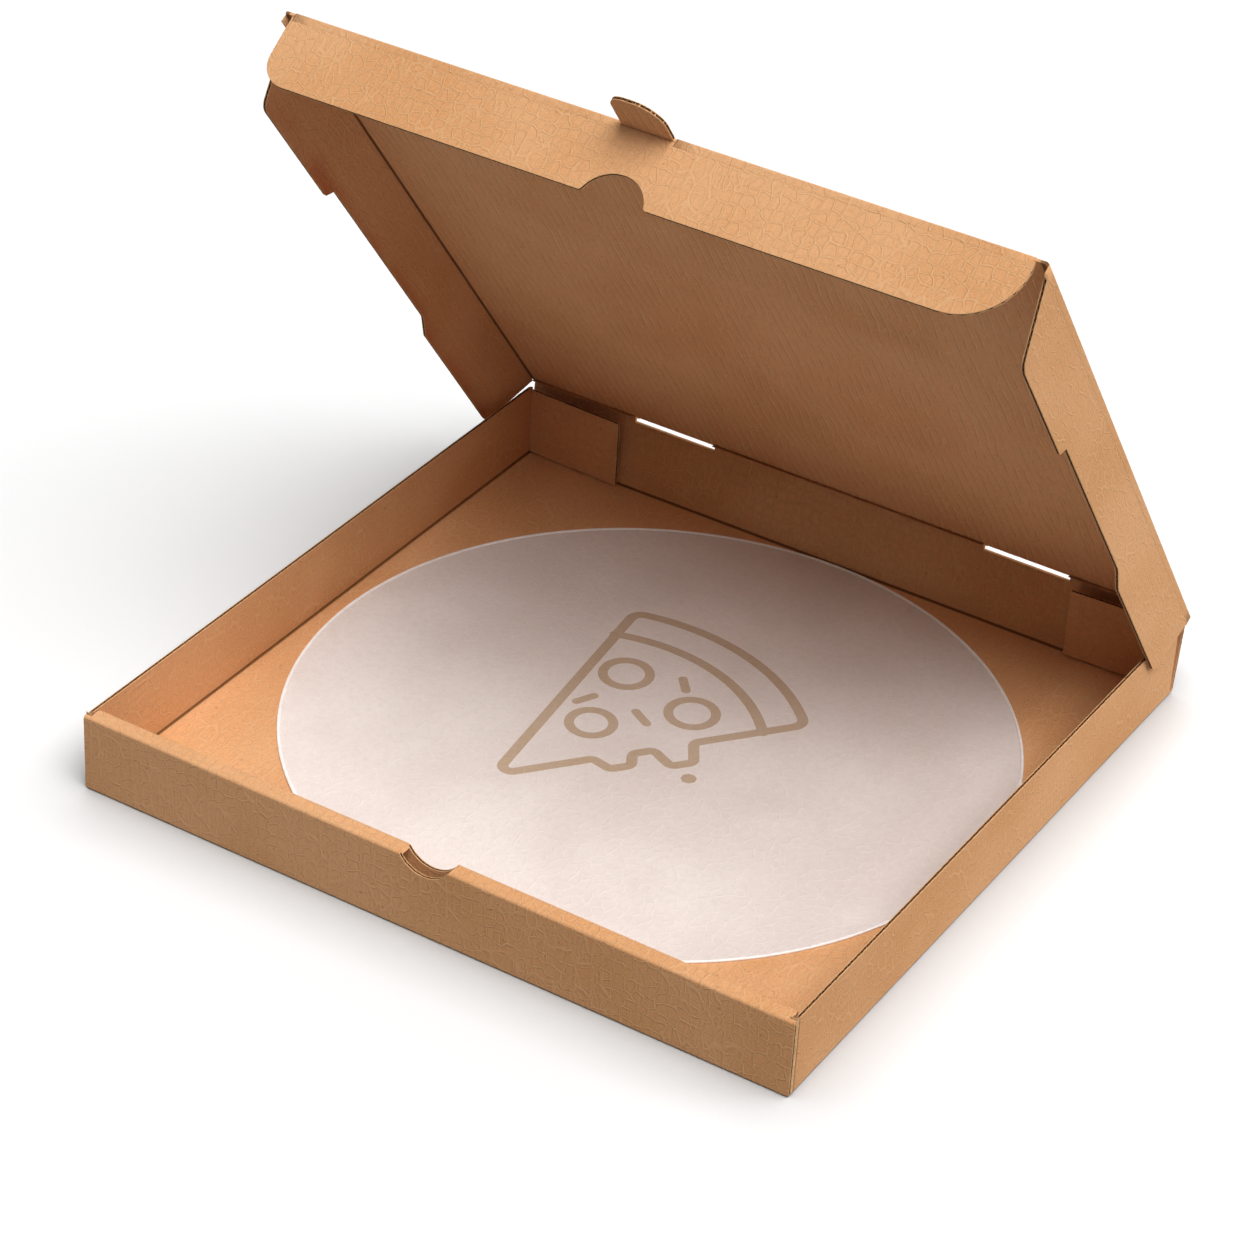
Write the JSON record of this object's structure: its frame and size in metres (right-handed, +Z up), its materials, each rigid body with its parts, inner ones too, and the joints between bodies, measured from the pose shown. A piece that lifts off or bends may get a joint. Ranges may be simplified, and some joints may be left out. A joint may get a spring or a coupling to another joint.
{
  "type": "pizza box",
  "caption": "Square corrugated pizza box with its hinged lid standing open, tucked flaps, pull tab, finger notch and a round liner on the floor.",
  "frame": {"origin": "centre of the tray's underside, on the table", "axes": "+X to the box's right, +Y to the hinge at the back, +Z up"},
  "size_m": [0.4352, 0.4254, 0.398],
  "materials": {
    "kraft_board": "unbleached brown kraft, matt",
    "liner_paper": "off-white greaseproof paper, matt"
  },
  "bodies": {
    "tray": {"tray": "kraft_board", "liner_disc": "liner_paper"},
    "rear_left_flap": {"rear_left_flap": "kraft_board"},
    "rear_right_flap": {"rear_right_flap": "kraft_board"},
    "lid": {"lid": "kraft_board"},
    "lid_front_flap": {"lid_front_flap": "kraft_board"},
    "lid_left_flap": {"lid_left_flap": "kraft_board"},
    "lid_right_flap": {"lid_right_flap": "kraft_board"}
  },
  "joints": [
    {"name": "lid_hinge", "type": "hinge", "parent": "tray", "child": "lid", "pos_m": [0, 0.21438, 0.0473], "axis": [-1, 0, 0], "range_deg": [-53, 70]},
    {"name": "lid_front_fold", "type": "hinge", "parent": "lid", "child": "lid_front_flap", "pos_m": [0, -0.03285, 0.37323], "axis": [1, 0, 0], "range_deg": [0, 60]},
    {"name": "lid_left_fold", "type": "hinge", "parent": "lid", "child": "lid_left_flap", "pos_m": [-0.2138, 0.0909, 0.21117], "axis": [0, 0.6018, -0.7986], "range_deg": [-8, 82]},
    {"name": "lid_right_fold", "type": "hinge", "parent": "lid", "child": "lid_right_flap", "pos_m": [0.2138, 0.0909, 0.21117], "axis": [0, -0.6018, 0.7986], "range_deg": [0, 90]},
    {"name": "rear_left_fold", "type": "hinge", "parent": "tray", "child": "rear_left_flap", "pos_m": [-0.2097, 0.20561, 0.024], "axis": [0, 0, -1], "range_deg": [0, 80]},
    {"name": "rear_right_fold", "type": "hinge", "parent": "tray", "child": "rear_right_flap", "pos_m": [0.2097, 0.20561, 0.024], "axis": [0, 0, 1], "range_deg": [0, 80]}
  ]
}
